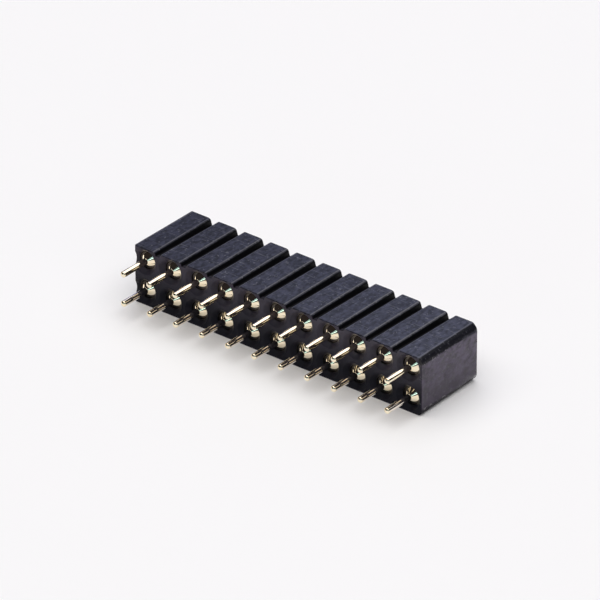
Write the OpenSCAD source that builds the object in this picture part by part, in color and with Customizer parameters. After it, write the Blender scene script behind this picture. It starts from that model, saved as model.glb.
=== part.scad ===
// Double-row socket header with turned contacts.
// The moulded body lies on its long side: X runs along the rows, the solder
// tails point to -Y, the mating face looks to +Y and Z crosses the two rows.
// The origin is the centre of the bottom of the whole part's box.

/* [Contact grid] */
// Contacts in each row
positions = 11; // [2:1:12]
// Distance between neighbouring contacts of one row
pitch = 2.54; // [2.4:0.01:3]
// Distance between the two rows
row_pitch = 2.54; // [2.3:0.01:3]

/* [Body] */
// Depth of the body, from the tail face to the mating face
body_depth = 6.75; // [6:0.05:9]
// Height of the body across the two rows
body_height = 4.9; // [4.8:0.05:6]
// Distance from the first contact's axis to the cut end
cut_end = 0.92; // [0.85:0.01:1.5]
// Distance from the last contact's axis to the moulded end
moulded_end = 1.3; // [1.1:0.01:1.8]
// Radius of the moulded end's upright edge at the mating face
end_edge_r = 0.18; // [0.05:0.01:0.35]

/* [Score grooves] */
// Width of a groove's floor
groove_floor_w = 0.4; // [0.2:0.01:0.6]
// Depth of a groove at the tail face
groove_depth_tail = 0.34; // [0.2:0.01:0.5]
// Depth of a groove at the mating face
groove_depth_mating = 0.52; // [0.25:0.01:0.55]
// Lean of a groove's walls
groove_wall_angle = 17; // [5:0.5:25]

/* [Rounded shoulders of the moulded end] */
// Drop of the shoulder at the tail face
shoulder_drop_tail = 0.45; // [0.2:0.01:0.7]
// Width of the shoulder at the tail face
shoulder_width_tail = 0.35; // [0.15:0.01:0.5]
// Drop of the shoulder at the mating face
shoulder_drop_mating = 0.9; // [0.75:0.01:1.2]
// Width of the shoulder at the mating face
shoulder_width_mating = 0.54; // [0.5:0.01:0.8]

/* [Turned sleeve] */
// Radius of the solder tail
tail_r = 0.25; // [0.2:0.01:0.35]
// Length of the solder tail below the body
tail_length = 2.65; // [1.5:0.05:6]
// Height of the dome on the tail's tip
tip_dome = 0.07; // [0.03:0.01:0.15]
// Distance from the tail face to the cone's narrow end
cone_start = 0.08; // [0:0.01:0.15]
// Length of the cone between tail and collar
cone_length = 0.32; // [0.2:0.01:0.5]
// Radius of the collar
collar_r = 0.75; // [0.72:0.01:0.82]
// Length of the collar
collar_length = 0.9; // [0.4:0.05:1.2]
// Radius of the barrel
barrel_r = 0.7; // [0.69:0.005:0.71]
// Height of the retaining ring above the barrel
ring_height = 0.03; // [0.02:0.01:0.04]
// Length of the retaining ring
ring_length = 0.5; // [0.3:0.05:0.8]
// Distance from the collar to the retaining ring
ring_offset = 0.9; // [0.5:0.05:1.5]
// Radius of the bore that holds the clip
sleeve_bore_r = 0.61; // [0.6:0.005:0.62]
// Depth of that bore, without its drilled point
sleeve_bore_depth = 4.3; // [3.5:0.05:4.4]
// Angle of the drilled point
drill_angle = 118; // [100:1:140]
// Chamfer at the sleeve's mouth
mouth_chamfer = 0.03; // [0.01:0.005:0.035]

/* [Spring clip] */
// Thickness of the clip's metal
clip_wall = 0.15; // [0.1:0.01:0.16]
// Depth of the clip's rim below the sleeve's mouth
clip_inset = 0.1; // [0.06:0.01:0.25]
// Length of the closed rim
clip_rim_length = 0.7; // [0.4:0.05:1]
// Length of the spring fingers
finger_length = 1.5; // [1:0.05:2]
// Length of the flared finger tips
finger_tip_length = 0.25; // [0.1:0.05:0.4]
// Radius left open between the fingers at their waist
waist_r = 0.22; // [0.18:0.01:0.28]
// Radius gained by the flared tips
tip_flare = 0.05; // [0.02:0.01:0.08]
// Width of the slots between the fingers
slot_w = 0.16; // [0.1:0.01:0.2]
// Length that the slots run on into the rim
slot_run_in = 0.06; // [0.03:0.01:0.15]
// Number of spring fingers
fingers = 4; // [3:1:4]

/* [Seats in the body] */
// Radius of the entry cone at the tail face
entry_r = 1.1; // [0.9:0.01:1.12]
// Depth of the entry cone
entry_depth = 0.33; // [0.2:0.01:0.45]
// Thickness of the plastic in front of the sleeve
front_wall = 0.5; // [0.35:0.05:0.8]
// Radius of the hole in the mating face
socket_hole_r = 0.64; // [0.62:0.01:0.66]
// Chamfer round the hole in the mating face
socket_chamfer = 0.24; // [0.1:0.01:0.3]
// Radial gap between the sleeve and the body
seat_gap = 0.015; // [0.01:0.005:0.03]
// Gap between the sleeve's mouth and its stop
stop_gap = 0.02; // [0.01:0.01:0.05]
// Radial gap between the clip and the sleeve
clip_gap = 0.01; // [0.01:0.005:0.02]

/* [Hidden] */
rows = ["a", "b"];
name_digits = 2;
round_steps = 96;
dome_steps = 4;
half_turn = 180;
// Overshoot of a cutting shape past the face that it opens
past = 1;

body_length = (positions - 1) * pitch + cut_end + moulded_end;
first_x = cut_end - body_length / 2;
end_x = body_length / 2;
total_depth = tail_length + body_depth;
tail_face_y = tail_length - total_depth / 2;
mating_face_y = tail_face_y + body_depth;
mid_z = body_height / 2;

seat_r = barrel_r + ring_height + seat_gap;
collar_seat_r = collar_r + seat_gap;
collar_start = cone_start + cone_length;
collar_end = collar_start + collar_length;
sleeve_end = body_depth - front_wall - stop_gap;
ring_start = collar_end + ring_offset;
bore_end = sleeve_end - sleeve_bore_depth;
drill_point = sleeve_bore_r / tan(drill_angle / 2);

clip_r = sleeve_bore_r - clip_gap;
clip_top = sleeve_end - clip_inset;
clip_rim_end = clip_top - clip_rim_length;
clip_waist = clip_rim_end - finger_length;
clip_tip = clip_waist - finger_tip_length;

function padded(n) = n < 10 ? str("0", n) : str(n);
function numbered(stem, row, n) = str(stem, "_", rows[row], padded(n));
function contact_x(n) = first_x + (n - 1) * pitch;
function row_z(row) = mid_z + (row == 0 ? 1 : -1) * row_pitch / 2;
function groove_w(depth) = groove_floor_w + 2 * depth * tan(groove_wall_angle);
// Radius of the arc that meets the end plane squarely and leaves the long face after the width
function shoulder_r(drop, width) = (drop * drop + width * width) / (2 * width);

// Puts a shape that was made along +Z from the tail face onto one contact's axis
module on_axis(row, n) {
    translate([contact_x(n), tail_face_y, row_z(row)])
        rotate([-90, 0, 0])
            children();
}

// Outline of the plain body, with the upright edge of the moulded end rounded
module body_plan() {
    difference() {
        translate([-end_x, tail_face_y])
            square([body_length, body_depth]);
        translate([end_x - end_edge_r, mating_face_y - end_edge_r])
            difference() {
                square([end_edge_r + past, end_edge_r + past]);
                circle(r = end_edge_r, $fn = round_steps);
            }
    }
}

// Tapered groove that runs from the tail face to the mating face in the long face above
module groove(x) {
    fall = groove_depth_mating - groove_depth_tail;
    slope = atan(fall / body_depth);
    reach = groove_depth_mating + past;
    translate([x, tail_face_y, body_height - groove_depth_tail])
        rotate([-slope, 0, 0])
            translate([0, body_depth + past, 0])
                rotate([90, 0, 0])
                    linear_extrude(height = body_depth + 2 * past)
                        polygon([
                            [-groove_floor_w / 2, 0],
                            [groove_floor_w / 2, 0],
                            [groove_w(reach) / 2, reach],
                            [-groove_w(reach) / 2, reach]
                        ]);
}

// Material outside the rounded shoulder between the long face above and the moulded end.
// The shoulder is a cone lying along the edge, so that it grows towards the mating face.
module shoulder_cut() {
    r_tail = shoulder_r(shoulder_drop_tail, shoulder_width_tail);
    r_mating = shoulder_r(shoulder_drop_mating, shoulder_width_mating);
    fall = atan((shoulder_drop_mating - shoulder_drop_tail) / body_depth);
    edge = body_depth / cos(fall);
    half_angle = asin((r_mating - r_tail) / edge);
    before = r_tail / sin(half_angle);
    reach = before + edge + past;
    translate([end_x, tail_face_y, body_height - shoulder_drop_tail])
        rotate([-fall, 0, 0])
            translate([0, -before, 0])
                rotate([0, 0, half_angle])
                    difference() {
                        translate([0, before - past, 0])
                            cube([2 * r_mating + past, edge + 2 * past, 2 * r_mating + past]);
                        rotate([-90, 0, 0])
                            cylinder(
                                h = reach * cos(half_angle),
                                r1 = 0,
                                r2 = reach * sin(half_angle),
                                $fn = round_steps
                            );
                    }
}

// One stepped hole through the body: entry cone, collar seat, barrel seat and chamfered mouth
module contact_hole() {
    rotate_extrude($fn = round_steps)
        polygon([
            [0, -past],
            [entry_r, -past],
            [entry_r, 0],
            [collar_seat_r, entry_depth],
            [collar_seat_r, collar_end],
            [seat_r, collar_end],
            [seat_r, body_depth - front_wall],
            [socket_hole_r, body_depth - front_wall],
            [socket_hole_r, body_depth - socket_chamfer],
            [socket_hole_r + socket_chamfer, body_depth],
            [socket_hole_r + socket_chamfer, body_depth + past],
            [0, body_depth + past]
        ]);
}

// Cuts that are the same in the upper and the lower long face
module long_face_cuts() {
    for (n = [1:positions - 1])
        groove(contact_x(n) + pitch / 2);
    shoulder_cut();
}

module housing() {
    color([0.13, 0.13, 0.14])
        difference() {
            linear_extrude(height = body_height)
                body_plan();
            long_face_cuts();
            translate([0, 0, body_height])
                mirror([0, 0, 1])
                    long_face_cuts();
            for (row = [0:1], n = [1:positions])
                on_axis(row, n)
                    contact_hole();
        }
}

// Half outline of the turned sleeve, from the tail's tip to the mouth and back down the bore
function sleeve_outline() = concat(
    [for (i = [0:dome_steps])
        [tail_r * sin(90 * i / dome_steps),
         -tail_length + tip_dome * (1 - cos(90 * i / dome_steps))]],
    [
        [tail_r, cone_start],
        [collar_r, collar_start],
        [collar_r, collar_end],
        [barrel_r, collar_end],
        [barrel_r, ring_start],
        [barrel_r + ring_height, ring_start],
        [barrel_r, ring_start + ring_length],
        [barrel_r, sleeve_end - mouth_chamfer],
        [barrel_r - mouth_chamfer, sleeve_end],
        [sleeve_bore_r + mouth_chamfer, sleeve_end],
        [sleeve_bore_r, sleeve_end - mouth_chamfer],
        [sleeve_bore_r, bore_end],
        [0, bore_end - drill_point]
    ]
);

module contact(row, n) {
    color([0.86, 0.74, 0.5])
        on_axis(row, n)
            rotate_extrude($fn = round_steps)
                polygon(sleeve_outline());
}

// Half outline of the spring clip: closed rim, fingers closing to the waist, flared tips
function clip_outline() = [
    [clip_r - clip_wall, clip_top],
    [clip_r, clip_top],
    [clip_r, clip_rim_end],
    [waist_r + clip_wall, clip_waist],
    [waist_r + clip_wall + tip_flare, clip_tip],
    [waist_r + tip_flare, clip_tip],
    [waist_r, clip_waist],
    [clip_r - clip_wall, clip_rim_end]
];

module clip(row, n) {
    color([0.82, 0.66, 0.38])
        on_axis(row, n)
            difference() {
                rotate_extrude($fn = round_steps)
                    polygon(clip_outline());
                for (i = [0:fingers - 1])
                    rotate([0, 0, half_turn / fingers + i * 2 * half_turn / fingers])
                        translate([0, -slot_w / 2, clip_tip - past])
                            cube([clip_r + past, slot_w, clip_rim_end - clip_tip + slot_run_in + past]);
            }
}

housing();
for (row = [0:1], n = [1:positions]) {
    contact(row, n);
    clip(row, n);
}
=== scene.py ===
"""Double-row socket header with turned contacts, dressed for rendering."""
import math

import bmesh
import bpy
from mathutils import Matrix, Vector


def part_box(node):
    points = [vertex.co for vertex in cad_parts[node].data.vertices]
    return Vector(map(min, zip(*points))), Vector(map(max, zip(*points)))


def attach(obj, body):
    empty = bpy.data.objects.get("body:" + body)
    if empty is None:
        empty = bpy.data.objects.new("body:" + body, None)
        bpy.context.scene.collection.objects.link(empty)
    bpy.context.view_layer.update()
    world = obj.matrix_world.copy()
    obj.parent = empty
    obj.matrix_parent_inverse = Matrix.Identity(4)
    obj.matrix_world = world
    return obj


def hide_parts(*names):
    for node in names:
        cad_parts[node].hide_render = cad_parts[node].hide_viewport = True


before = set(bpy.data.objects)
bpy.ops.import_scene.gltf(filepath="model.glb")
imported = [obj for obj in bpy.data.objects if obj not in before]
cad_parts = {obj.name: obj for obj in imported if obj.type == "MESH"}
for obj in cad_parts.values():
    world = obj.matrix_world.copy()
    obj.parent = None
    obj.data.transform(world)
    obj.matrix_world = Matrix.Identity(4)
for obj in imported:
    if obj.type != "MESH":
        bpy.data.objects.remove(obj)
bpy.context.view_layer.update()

MM = 0.001
ROOT = "root"
ROWS = ("a", "b")
CONTACTS_IN_ROW = 11

# The whole part, in metres
TIP = -4.7 * MM
TAIL_FACE = -2.05 * MM
MATING_FACE = 4.7 * MM
BODY_HEIGHT = 4.9 * MM
HALF_HEIGHT = BODY_HEIGHT / 2
END_X = 13.81 * MM

# The grooves across the long faces, in millimetres
PITCH = 2.54
FIRST_GROOVE = -11.62

# Rounding of the body's edges: widths in metres, angles in degrees
GROOVES_WITHIN_X = 12 * MM
GROOVE_EDGE_ANGLE = 60
GROOVE_EDGE_WIDTH = 0.13 * MM
GROOVE_EDGE_STEPS = 3
MATING_END_REACH = 0.15 * MM
MATING_END_SPREAD = 0.4
EDGE_ANGLE = 30
EDGE_WIDTH = 0.06 * MM
EDGE_STEPS = 2

# What counts as flat, sharp, long, large or the same, for shading and merging
BODY_SMOOTH_ANGLE = 35
SLEEVE_SMOOTH_ANGLE = 30
IN_ONE_PLANE = 0.3
ALONG_AXIS = 0.99999
LONG_EDGE = 4 * MM
LARGE_AREA = MM * MM
ON_FACE = 0.01 * MM
SAME_PLACE = 1e-7


# ---------------------------------------------------------------- shader maths


class Signal:
    """A node's output that turns Python arithmetic into Math nodes."""

    def __init__(self, finish, socket):
        self.finish = finish
        self.socket = socket

    def _math(self, operation, first, second):
        node = self.finish.node("ShaderNodeMath", {"operation": operation}, {0: first, 1: second})
        return Signal(self.finish, node.outputs[0])

    def __add__(self, other):
        return self._math("ADD", self, other)

    def __radd__(self, other):
        return self._math("ADD", other, self)

    def __sub__(self, other):
        return self._math("SUBTRACT", self, other)

    def __rsub__(self, other):
        return self._math("SUBTRACT", other, self)

    def __mul__(self, other):
        return self._math("MULTIPLY", self, other)

    def __rmul__(self, other):
        return self._math("MULTIPLY", other, self)

    def size(self):
        return self._math("ABSOLUTE", self, 0.0)

    def folded(self, span):
        """Rises and falls between 0 and the span."""
        return self._math("PINGPONG", self, span)

    def greater(self, other):
        return self._math("MAXIMUM", self, other)


class Finish:
    """A procedural material around one Principled shader."""

    def __init__(self, name):
        self.material = bpy.data.materials.new(name)
        self.material.use_nodes = True
        self.tree = self.material.node_tree
        self.tree.nodes.clear()
        self.shader = self.tree.nodes.new("ShaderNodeBsdfPrincipled")
        output = self.tree.nodes.new("ShaderNodeOutputMaterial")
        self.tree.links.new(self.shader.outputs[0], output.inputs["Surface"])
        self.place = Signal(self, self.node("ShaderNodeTexCoord").outputs["Object"])

    def node(self, kind, settings=None, inputs=None):
        """Adds a node; its settings come first, then the values or links of its sockets."""
        made = self.tree.nodes.new(kind)
        for key, value in (settings or {}).items():
            setattr(made, key, value)
        for key, value in (inputs or {}).items():
            self.feed(made.inputs[key], value)
        return made

    def feed(self, socket, value):
        if isinstance(value, Signal):
            self.tree.links.new(value.socket, socket)
        else:
            socket.default_value = value

    def signal(self, kind, settings=None, inputs=None, output=0):
        return Signal(self, self.node(kind, settings, inputs).outputs[output])

    def stretched(self, scale, turn=0.0):
        """The place, scaled on each axis and turned about Z."""
        return self.signal(
            "ShaderNodeMapping",
            None,
            {"Vector": self.place, "Rotation": (0, 0, turn), "Scale": scale},
        )

    def axis(self, name):
        return self.signal("ShaderNodeSeparateXYZ", None, {0: self.place}, name)

    def noise(self, scale=1.0, detail=2.0, roughness=0.5, place=None):
        return self.signal(
            "ShaderNodeTexNoise",
            None,
            {
                "Vector": place or self.place,
                "Scale": scale,
                "Detail": detail,
                "Roughness": roughness,
            },
        )

    def streaks(self, scale, turn, low, high):
        """Thin marks that all run one way."""
        return self.ramp(self.noise(detail=1.0, place=self.stretched(scale, turn)), low, high)

    def ramp(self, value, low, high, start=0.0, end=1.0):
        """Goes from start to end as the value goes from low to high, and stays there."""
        return self.signal(
            "ShaderNodeMapRange",
            None,
            {"Value": value, "From Min": low, "From Max": high, "To Min": start, "To Max": end},
        )

    def mix(self, factor, first, second):
        return self.signal(
            "ShaderNodeMix", {"data_type": "RGBA"}, {"Factor": factor, "A": first, "B": second}, 2
        )

    def bump(self, height, distance):
        return self.signal(
            "ShaderNodeBump",
            None,
            {"Height": height, "Distance": distance, "Strength": BUMP_STRENGTH},
        )

    def set(self, **values):
        for key, value in values.items():
            self.feed(self.shader.inputs[key.replace("_", " ")], value)
        return self.material


# ---------------------------------------------------------------- finishes

# Colours of the plastic, several of them painted shade, light and highlight
SKIN_DARK = (0.004, 0.004, 0.009, 1)
SKIN_LIGHT = (0.022, 0.022, 0.04, 1)
# Painted shade in the grooves and other recesses
GROOVE_PAINTED_SHADE = (0.003, 0.003, 0.004, 1)
# Tail face: painted shade low down and painted light near its top
TAIL_FACE_PAINTED_SHADE = (0.007, 0.007, 0.013, 1)
TAIL_FACE_PAINTED_LIGHT = (0.055, 0.046, 0.068, 1)
# Moulded end face: painted light, lighter than the rest of the plastic
END_PAINTED_SHADE = (0.022, 0.014, 0.03, 1)
END_PAINTED_LIGHT = (0.092, 0.072, 0.122, 1)
# Painted shade on the moulded end's shoulders
SHOULDER_PAINTED_SHADE = (0.006, 0.006, 0.01, 1)
SCRAPED_DARK = (0.018, 0.018, 0.022, 1)
SCRAPED_LIGHT = (0.045, 0.045, 0.05, 1)
# Painted highlight along the edges of the grooves and shoulders
HIGHLIGHT_GREY = (0.09, 0.09, 0.11, 1)
SCUFF_GREY = (0.2, 0.19, 0.21, 1)
MARK_GREY = (0.12, 0.12, 0.14, 1)

# Colours of the plating
GOLD_LIGHT = (0.98, 0.88, 0.69, 1)
GOLD_DEEP = (0.95, 0.82, 0.58, 1)
# Painted reflection: the lower row's tails paler and less yellow
LOWER_TAIL_PAINTED_REFLECTION = (0.93, 0.85, 0.76, 1)
CLIP_LIGHT = (0.86, 0.68, 0.36, 1)
CLIP_DEEP = (0.74, 0.54, 0.26, 1)

# How far inside its face each zone of the body starts and is full, in millimetres
LONG_FACE_FADE = (0.12, 0.07)
END_FACE_FADE = (0.4, 0.2)
MATING_FACE_FADE = (0.08, 0.02)
MOULDED_END_FADE = (0.05, 0.01)
CUT_FADE = (0.04, 0.01)
TAIL_FACE_FADE = (0.4, 0.34)

# Where the glossy skin is full behind the tail face, in millimetres
SKIN_FULL = 0.04

# What counts as groove, in millimetres: from its middle, below the long face and behind the
# tail face
GROOVE_SIDE_FADE = (0.37, 0.34)
GROOVE_FLOOR_FADE = (0.36, 0.34)
GROOVE_MOUTH_FADE = (0.02, 0.07)

# Painted highlight line beside a groove, in millimetres from the groove's middle at the tail face,
# and how much farther at the mating face
GROOVE_LINE = 0.4
GROOVE_LINE_SPREAD = 0.07
GROOVE_LINE_FADE = (0.06, 0.02)

# Width of the moulded end's shoulders at the tail face, in millimetres, and how much wider
# they are at the mating face
SHOULDER_WIDTH = 0.35
SHOULDER_WIDENING = 0.19
SHOULDER_EDGE_FADE = 0.04
SHOULDER_LINE_FADE = (0.08, 0.03)

# Painted shade band on the shoulders, in millimetres: its depth at the tail face, what it loses
# towards the mating face, how ragged its lower line is and how far scuffs lie from that line
BAND_DEPTH = 0.4
BAND_NARROWING = 0.1
BAND_RAGGEDNESS = 0.3
BAND_EDGE_FADE = 0.06
SCUFF_FADE = (0.16, 0.02)

# Strengths of what lies on the plastic, and its surface relief in metres
TAIL_FACE_SKIN = 0.4
SPECK_STRENGTH = 0.6
SCRATCH_STRENGTH = 0.4
PLASTIC_RELIEF = 0.008 * MM
GOLD_RELIEF = 0.00008 * MM
BUMP_STRENGTH = 0.5


class BodyZones:
    """Where each kind of surface lies on the moulded body."""

    def __init__(self, finish, cloud):
        ramp = finish.ramp

        def close_to(value, face, fade, side=1):
            """Rises to 1 as the value comes close to a face from inside the body."""
            start, full = fade
            return ramp(value, face - side * start * MM, face - side * full * MM)

        x, y, z = (finish.axis(name) for name in "XYZ")
        from_middle = (z - HALF_HEIGHT).size()
        self.long_faces = close_to(from_middle, HALF_HEIGHT, LONG_FACE_FADE)
        end_faces = close_to(x.size(), END_X, END_FACE_FADE)
        mating_face = close_to(y, MATING_FACE, MATING_FACE_FADE)
        self.outer = self.long_faces.greater(end_faces).greater(mating_face)
        self.moulded_end = close_to(x, END_X, MOULDED_END_FADE)
        self.cut = close_to(x, -END_X, CUT_FADE, side=-1)

        # Slow changes from one side of the body to the other
        self.inwards = ramp(y, TAIL_FACE, MATING_FACE)
        self.upward = ramp(z, 0.3 * BODY_HEIGHT, BODY_HEIGHT)
        # Painted light on the moulded end face, growing upward
        self.painted_light_upward = ramp(z, 0, BODY_HEIGHT, 0.15, 1.35)
        self.glossier_to_moulded_end = ramp(x, -END_X, END_X, 0.4, 1.35)

        # The tail face with its craters, but not the grooves' walls behind it
        from_groove = (x * (1 / MM) - FIRST_GROOVE).folded(PITCH / 2)
        mouth_start, mouth_full = GROOVE_MOUTH_FADE
        in_groove = (
            ramp(from_groove, *GROOVE_SIDE_FADE)
            * close_to(from_middle, HALF_HEIGHT, GROOVE_FLOOR_FADE)
            * ramp(y, TAIL_FACE + mouth_start * MM, TAIL_FACE + mouth_full * MM)
        )
        near_tail_face = close_to(y, TAIL_FACE, TAIL_FACE_FADE, side=-1)
        self.tail_face = near_tail_face * (1 - self.long_faces) * (1 - in_groove)

        # The painted shade band on the moulded end's shoulders, with scuffs along its lower line
        past_shoulder_edge = x - END_X + (self.inwards * SHOULDER_WIDENING + SHOULDER_WIDTH) * MM
        depth = (BAND_DEPTH - self.inwards * BAND_NARROWING + cloud * BAND_RAGGEDNESS) * MM
        past_band_line = from_middle - HALF_HEIGHT + depth
        self.shoulder = ramp(past_shoulder_edge, 0, SHOULDER_EDGE_FADE * MM) * ramp(
            past_band_line, -BAND_EDGE_FADE * MM, BAND_EDGE_FADE * MM
        )
        self.scuffs = (
            close_to(past_band_line.size(), 0, SCUFF_FADE, side=-1)
            * ramp(finish.noise(scale=4500.0), 0.56, 0.64)
            * self.moulded_end
        )

        # Painted highlight lines along the grooves and the shoulders
        from_groove_highlight = from_groove - self.inwards * GROOVE_LINE_SPREAD - GROOVE_LINE
        groove_highlight = ramp(from_groove_highlight.size(), *GROOVE_LINE_FADE)
        shoulder_highlight = close_to(past_shoulder_edge.size(), 0, SHOULDER_LINE_FADE, side=-1)
        self.edge_highlights = groove_highlight.greater(shoulder_highlight) * self.long_faces

        # The glossy skin, which is thin on the tail face
        behind_tail_face = ramp(y, TAIL_FACE, TAIL_FACE + SKIN_FULL * MM)
        self.skin = (behind_tail_face * self.outer * (1 - self.shoulder)).greater(
            self.tail_face * self.upward * TAIL_FACE_SKIN
        )


def moulded_plastic():
    """Black glass-filled plastic: glossy skin outside, dull tail face, scraped cut end."""
    finish = Finish("moulded_plastic")
    ramp, mix = finish.ramp, finish.mix

    # Patterns, from the coarsest to the finest
    cloud = finish.noise(scale=900.0, detail=3.0)
    mottle = finish.noise(
        detail=4.0, roughness=0.7, place=finish.stretched((3200.0, 1500.0, 2600.0))
    )
    patches = finish.noise(
        detail=1.5, roughness=0.6, place=finish.stretched((3600.0, 1900.0, 3000.0), 0.15)
    )
    blotches = ramp(patches, 0.36, 0.64)
    specks = ramp(finish.noise(scale=4600.0, detail=1.0), 0.66, 0.74)
    scratches = finish.streaks((700.0, 9000.0, 5000.0), 0.5, 0.67, 0.74).greater(
        finish.streaks((600.0, 11000.0, 4000.0), -0.6, 0.69, 0.76)
    )
    scrapes = finish.noise(
        detail=3.0, roughness=0.6, place=finish.stretched((500.0, 14000.0, 900.0))
    )
    grain = finish.noise(scale=16000.0, detail=3.0, roughness=0.6)
    zones = BodyZones(finish, cloud)

    # The tail face is painted darker towards the bottom and lighter towards the top: painted shade
    # and light, with random cloud in it
    tail_face_light_and_shade = zones.upward * ramp(cloud, 0.3, 0.6, 0.5, 1)
    # The moulded end face is painted lighter than the body, and lighter again towards its top and
    # back: painted light; its blotches and cloud are random tone
    end_blotches_and_painted_light = (
        ramp(blotches + cloud * 2, 0.9, 2.1) * zones.painted_light_upward * (zones.inwards * 0.5 + 0.75)
    )
    # Away from the outer faces, in the grooves and other recesses, the colour is painted shade
    colour = mix(zones.outer, GROOVE_PAINTED_SHADE, mix(1 - blotches, SKIN_DARK, SKIN_LIGHT))
    colour = mix(
        zones.tail_face, colour, mix(tail_face_light_and_shade, TAIL_FACE_PAINTED_SHADE, TAIL_FACE_PAINTED_LIGHT)
    )
    colour = mix(zones.moulded_end, colour, mix(end_blotches_and_painted_light, END_PAINTED_SHADE, END_PAINTED_LIGHT))
    # The shoulders' band is painted shade
    colour = mix(zones.shoulder, colour, SHOULDER_PAINTED_SHADE)
    # Thin painted highlight lines along the groove and shoulder edges
    colour = mix(zones.edge_highlights * ramp(mottle, 0.3, 0.6, 0.3, 1), colour, HIGHLIGHT_GREY)
    colour = mix(zones.scuffs, colour, SCUFF_GREY)
    colour = mix(specks * zones.outer * SPECK_STRENGTH, colour, MARK_GREY)
    colour = mix(scratches * zones.outer * SCRATCH_STRENGTH, colour, MARK_GREY)
    scraped = mix(ramp(scrapes, 0.35, 0.65), SCRAPED_DARK, SCRAPED_LIGHT)

    # The gloss is weaker on the cut, the moulded end, the mottle and the blotches
    gloss = zones.skin * (1 - zones.cut * 0.8) * (1 - zones.moulded_end * 0.4)
    gloss = gloss * ramp(mottle, 0.38, 0.62, 1.0, 0.6) * (1 - blotches * 0.35)
    height = grain * 0.4 + mottle * 1.4 + cloud * 2.0 + specks * 0.5 - scratches
    height = height + zones.cut * scrapes * 5.0
    return finish.set(
        Base_Color=mix(zones.cut, colour, scraped),
        Roughness=ramp(mottle, 0.3, 0.7, 0.4, 0.5) + zones.cut * 0.25,
        IOR=1.22,
        Coat_Weight=gloss * zones.glossier_to_moulded_end,
        Coat_Roughness=0.27,
        Coat_IOR=1.5,
        Normal=finish.bump(height, PLASTIC_RELIEF),
    )


def polished_gold():
    """Pale gold plating with faint tool rings; the lower row's tails are painted less yellow, a
    painted reflection.
    """
    finish = Finish("polished_gold")
    rings = finish.noise(
        detail=3.0, roughness=0.6, place=finish.stretched((200.0, 26000.0, 200.0))
    )
    patches = finish.noise(scale=2500.0)
    y, z = finish.axis("Y"), finish.axis("Z")
    outside = finish.ramp(y, TAIL_FACE, TAIL_FACE - 0.3 * MM)
    short_of_tip = finish.ramp(y, TIP + 0.1 * MM, TIP + 0.4 * MM)
    lower_row = finish.ramp(z, 0.6 * BODY_HEIGHT, 0.4 * BODY_HEIGHT)
    plating = finish.mix(finish.ramp(patches, 0.35, 0.7), GOLD_LIGHT, GOLD_DEEP)
    return finish.set(
        # The lower row's tails are painted paler and less yellow: painted reflection
        Base_Color=finish.mix(outside * short_of_tip * lower_row, plating, LOWER_TAIL_PAINTED_REFLECTION),
        Metallic=1.0,
        Roughness=finish.ramp(patches, 0.3, 0.7, 0.04, 0.08),
        Normal=finish.bump(rings, GOLD_RELIEF),
    )


def satin_gold():
    """Plating of the stamped spring clip."""
    finish = Finish("satin_gold")
    patches = finish.noise(scale=4000.0)
    return finish.set(
        Base_Color=finish.mix(finish.ramp(patches, 0.3, 0.7), CLIP_LIGHT, CLIP_DEEP),
        Metallic=1.0,
        Roughness=0.28,
    )


PLASTIC = moulded_plastic()
GOLD = polished_gold()
CLIP_GOLD = satin_gold()


# ---------------------------------------------------------------- pieces


def mesh_from(bm, name):
    mesh = bpy.data.meshes.new(name)
    bm.to_mesh(mesh)
    bm.free()
    return mesh


def add_piece(name, bm, material, slot, *nodes):
    add_mesh(name, mesh_from(bm, name), material, slot, *nodes)


def add_mesh(name, mesh, material, slot, *nodes):
    mesh.materials.clear()
    mesh.materials.append(material)
    piece = bpy.data.objects.new(name, mesh)
    bpy.context.scene.collection.objects.link(piece)
    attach(piece, ROOT)
    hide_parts(*nodes)


def soften(bm, edges, width, segments):
    bmesh.ops.bevel(
        bm,
        geom=edges,
        offset=width,
        offset_type="OFFSET",
        affect="EDGES",
        segments=segments,
        profile=0.5,
        material=-1,
        clamp_overlap=True,
    )


def sharp_edges(bm, least_angle):
    least = math.radians(least_angle)
    return [e for e in bm.edges if len(e.link_faces) == 2 and e.calc_face_angle() > least]


def among_grooves(place):
    return abs(place.x) < GROOVES_WITHIN_X


def on_long_face(place):
    return min(abs(place.z), abs(place.z - BODY_HEIGHT)) < ON_FACE


def groove_edges(bm):
    """The long edges between the grooves and the upper and lower faces."""
    return [
        e
        for e in sharp_edges(bm, GROOVE_EDGE_ANGLE)
        if abs(e.verts[0].co.y - e.verts[1].co.y) > MM
        and all(on_long_face(v.co) and among_grooves(v.co) for v in e.verts)
    ]


def smooth_by_angle(bm, angle):
    """Rounded faces shade smoothly; square, large and long inner ones stay flat."""
    for face in bm.faces:
        square_on = max(abs(c) for c in face.normal) > ALONG_AXIS
        is_long = max(e.calc_length() for e in face.edges) > LONG_EDGE
        long_inner = is_long and among_grooves(face.calc_center_median())
        face.smooth = not (square_on or long_inner or face.calc_area() > LARGE_AREA)
    for edge in bm.edges:
        edge.smooth = len(edge.link_faces) == 2 and edge.calc_face_angle() < math.radians(angle)


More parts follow.
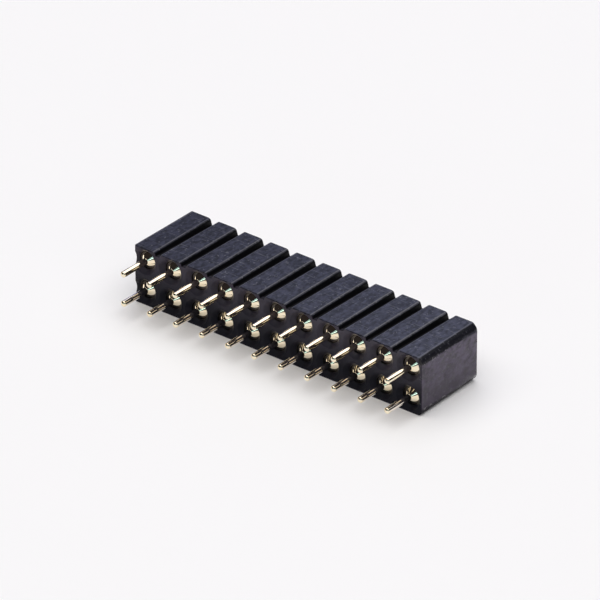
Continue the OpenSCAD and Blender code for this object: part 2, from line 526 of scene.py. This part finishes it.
def make_body():
    """The moulded body with its edges softened, most of all along the grooves."""
    bm = bmesh.new()
    bm.from_mesh(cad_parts["housing"].data)
    bmesh.ops.remove_doubles(bm, verts=bm.verts, dist=SAME_PLACE)
    bmesh.ops.dissolve_limit(
        bm,
        angle_limit=math.radians(IN_ONE_PLANE),
        use_dissolve_boundaries=False,
        verts=bm.verts,
        edges=bm.edges,
    )
    edges = groove_edges(bm)
    mating_corners = {v.co.copy().freeze() for e in edges for v in e.verts if v.co.y > 0}
    soften(bm, edges, GROOVE_EDGE_WIDTH, GROOVE_EDGE_STEPS)
    for vert in bm.verts:
        for corner in mating_corners:
            if (vert.co - corner).length < MATING_END_REACH:
                vert.co += (vert.co - corner) * MATING_END_SPREAD
    soften(bm, sharp_edges(bm, EDGE_ANGLE), EDGE_WIDTH, EDGE_STEPS)
    smooth_by_angle(bm, BODY_SMOOTH_ANGLE)
    add_piece("body_moulding", bm, PLASTIC, "moulded_plastic", "housing")


# Outline of the turned sleeve, in millimetres: starts and ends are distances inwards from
# the tail face, and R is a radius
TAIL_R = 0.25
TAIL_LENGTH = 2.65
TIP_ANGLE = math.radians(58)
TIP_STEPS = 8
CONE_START = 0.08
CONE_END = 0.4
COLLAR_R = 0.75
COLLAR_END = 1.3
BARREL_R = 0.7
RING_R = 0.73
RING_START = 2.2
RING_END = 2.7
SLEEVE_END = 6.23
BORE_R = 0.61
BORE_END = 1.93
BORE_POINT = 0.367
MOUTH = 0.03
CORNER_ROUND = 0.03
CORNER_STEPS = 3
TURNING_STEPS = 64


def rounded(points, radius, steps):
    """The inner corners of a polyline turned into arcs."""
    result = []
    for before, corner, after in zip(points, points[1:], points[2:]):
        here = Vector(corner)
        back = (Vector(before) - here).normalized()
        ahead = (Vector(after) - here).normalized()
        half = back.angle(ahead) / 2
        centre = here + (back + ahead).normalized() * radius / math.sin(half)
        first = (here + back * radius / math.tan(half) - centre).normalized()
        last = (here + ahead * radius / math.tan(half) - centre).normalized()
        result += [tuple(centre + first.slerp(last, i / steps) * radius) for i in range(steps + 1)]
    return result + [points[-1]]


def sleeve_outline():
    """From the domed tip along the outside to the mouth, and back down the bore."""
    tip_r = TAIL_R / math.sin(TIP_ANGLE)
    dome = [
        (-TAIL_LENGTH + tip_r * (1 - math.cos(a)), tip_r * math.sin(a))
        for a in (TIP_ANGLE * i / TIP_STEPS for i in range(TIP_STEPS + 1))
    ]
    return dome + rounded(
        [
            dome[-1],
            (CONE_START, TAIL_R),
            (CONE_END, COLLAR_R),
            (COLLAR_END, COLLAR_R),
        ],
        CORNER_ROUND,
        CORNER_STEPS,
    ) + [
        (COLLAR_END, BARREL_R),
        (RING_START, BARREL_R),
        (RING_START, RING_R),
        (RING_END, BARREL_R),
        (SLEEVE_END - MOUTH, BARREL_R),
        (SLEEVE_END, BARREL_R - MOUTH),
        (SLEEVE_END, BORE_R + MOUTH),
        (SLEEVE_END - MOUTH, BORE_R),
        (BORE_END, BORE_R),
        (BORE_END - BORE_POINT, 0),
    ]


def turned(outline, steps):
    """A solid of revolution about the Y axis."""
    bm = bmesh.new()
    points = [bm.verts.new((0, along * MM, radius * MM)) for along, radius in outline]
    lines = [bm.edges.new(pair) for pair in zip(points, points[1:])]
    bmesh.ops.spin(
        bm,
        geom=points + lines,
        cent=(0, 0, 0),
        axis=(0, 1, 0),
        angle=2 * math.pi,
        steps=steps,
        use_merge=True,
    )
    bmesh.ops.remove_doubles(bm, verts=bm.verts, dist=SAME_PLACE)
    bmesh.ops.recalc_face_normals(bm, faces=bm.faces)
    return bm


def contact_names():
    return [f"{row}{n:02d}" for row in ROWS for n in range(1, CONTACTS_IN_ROW + 1)]


def make_sleeves():
    """A turned sleeve in the place of each contact."""
    bm = turned(sleeve_outline(), TURNING_STEPS)
    smooth_by_angle(bm, SLEEVE_SMOOTH_ANGLE)
    pattern = mesh_from(bm, "sleeve_pattern")
    for name in contact_names():
        low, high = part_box(f"contact_{name}")
        spot = Vector(((low.x + high.x) / 2, low.y + TAIL_LENGTH * MM, (low.z + high.z) / 2))
        mesh = pattern.copy()
        mesh.transform(Matrix.Translation(spot))
        add_mesh(f"sleeve_{name}", mesh, GOLD, "sleeve_metal", f"contact_{name}")
    bpy.data.meshes.remove(pattern)


def dress_clips():
    """The clips keep their own meshes and get their plating."""
    for name in contact_names():
        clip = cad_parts[f"clip_{name}"]
        clip.data.materials.clear()
        clip.data.materials.append(CLIP_GOLD)


# ---------------------------------------------------------------- studio

FLOOR_HALF_SIZE = 2.0
FLOOR_WHITE = (0.955, 0.942, 0.947, 1)
SURROUND_COLOUR = (1.0, 0.84, 0.92, 1)
SURROUND_STRENGTH = 0.02

# Name, place, point aimed at, width, height, power, colour
SOFT_BOXES = [
    ("sky_panel", (0, 0.05, 0.75), (0, 0.05, 0), 1.5, 1.5, 12.0, (1, 0.995, 0.985)),
    ("back_panel", (-0.5, 0.8, 0.42), (0, 0, 0.05), 1.5, 0.4, 1.1, (0.47, 0.55, 1)),
    ("right_panel", (0.95, -0.35, 0.45), (0, 0, 0), 0.7, 0.5, 0.8, (1, 1, 1)),
    ("left_strip", (-0.97, -0.22, 0.12), (0, 0, 0), 0.12, 0.24, 0.2, (1, 0.95, 0.88)),
    ("front_strip", (0.25, -0.95, 0.19), (0, 0, 0), 0.5, 0.1, 0.34, (0.6, 0.9, 1)),
    ("front_strip_high", (0.2, -0.95, 0.33), (0, 0, 0), 0.5, 0.05, 0.08, (0.5, 0.88, 1)),
]

# The camera looks at this point from this side and height, in degrees, and this distance
LOOK_AT = Vector((-0.195, 0.95, 3.62)) * MM
CAMERA_AZIMUTH = 38.96
CAMERA_ELEVATION = 29.6
CAMERA_DISTANCE = 0.6
FOCAL_LENGTH = 480


def make_floor():
    bm = bmesh.new()
    bmesh.ops.create_grid(bm, x_segments=1, y_segments=1, size=FLOOR_HALF_SIZE)
    mesh = mesh_from(bm, "floor")
    finish = Finish("floor_white")
    mesh.materials.append(
        finish.set(Base_Color=FLOOR_WHITE, Roughness=0.6, Specular_IOR_Level=0.2)
    )
    floor = bpy.data.objects.new("floor", mesh)
    bpy.context.scene.collection.objects.link(floor)


def soft_box(name, place, aim, width, height, power, colour):
    light = bpy.data.lights.new(name, "AREA")
    light.shape = "RECTANGLE"
    light.size = width
    light.size_y = height
    light.energy = power
    light.color = colour
    lamp = bpy.data.objects.new(name, light)
    lamp.location = place
    lamp.rotation_euler = (Vector(aim) - Vector(place)).to_track_quat("-Z", "Y").to_euler()
    bpy.context.scene.collection.objects.link(lamp)


def make_studio():
    world = bpy.data.worlds.new("studio")
    world.use_nodes = True
    sky = world.node_tree.nodes["Background"]
    sky.inputs["Color"].default_value = SURROUND_COLOUR
    sky.inputs["Strength"].default_value = SURROUND_STRENGTH
    bpy.context.scene.world = world
    bpy.context.scene.view_settings.view_transform = "Standard"
    for settings in SOFT_BOXES:
        soft_box(*settings)


def make_camera():
    azimuth, elevation = math.radians(CAMERA_AZIMUTH), math.radians(CAMERA_ELEVATION)
    away = Vector(
        (
            math.sin(azimuth) * math.cos(elevation),
            -math.cos(azimuth) * math.cos(elevation),
            math.sin(elevation),
        )
    )
    data = bpy.data.cameras.new("camera")
    data.sensor_width = 36
    data.lens = FOCAL_LENGTH
    data.clip_start = 0.01
    data.clip_end = 20
    camera = bpy.data.objects.new("camera", data)
    camera.location = LOOK_AT + away * CAMERA_DISTANCE
    camera.rotation_euler = (-away).to_track_quat("-Z", "Y").to_euler()
    bpy.context.scene.collection.objects.link(camera)
    bpy.context.scene.camera = camera


make_camera()
make_body()
make_sleeves()
dress_clips()
make_floor()
make_studio()
